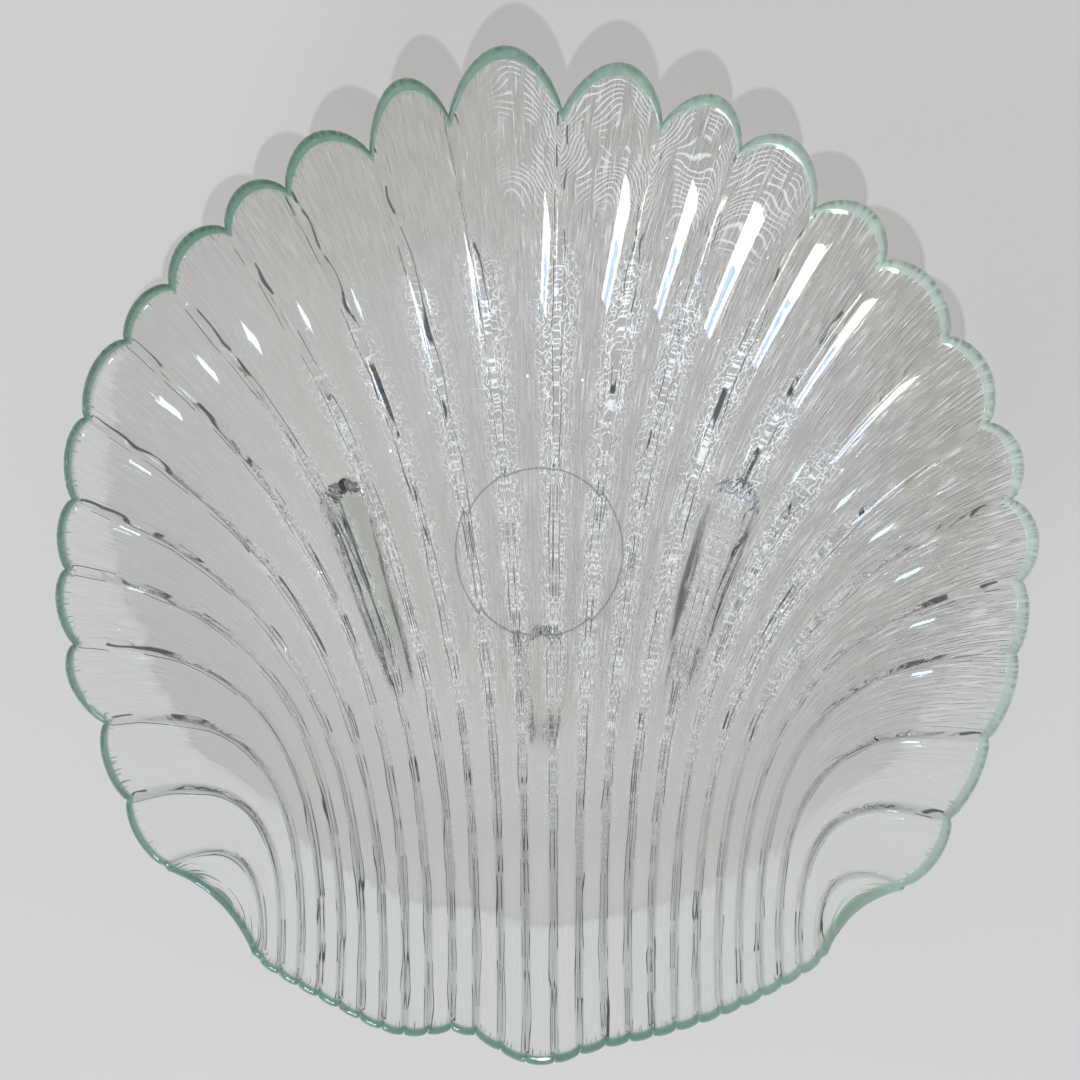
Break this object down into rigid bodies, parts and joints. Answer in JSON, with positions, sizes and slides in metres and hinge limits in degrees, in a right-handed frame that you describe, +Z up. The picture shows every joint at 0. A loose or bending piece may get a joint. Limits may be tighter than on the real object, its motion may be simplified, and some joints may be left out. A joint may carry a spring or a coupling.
{
  "type": "footed shell bowl",
  "caption": "Clear pressed-glass bowl shaped as a fluted scallop shell, with a lobed fan rim, two ears beside a straight hinge edge, and small wedge feet.",
  "frame": {"origin": "middle of the bowl's footprint, on the plane of the feet's undersides", "axes": "+Z up out of the bowl, +Y from the hinge edge towards the fan's middle lobe, +X to the right as seen from above"},
  "size_m": [0.3041, 0.3136, 0.0821],
  "materials": {
    "clear_glass": "clear soda-lime glass with a faint green tint, fire-polished green rim, bark-like pressed streaks along the flutes"
  },
  "bodies": {
    "root": {"shell_bowl": "clear_glass"}
  },
  "joints": []
}
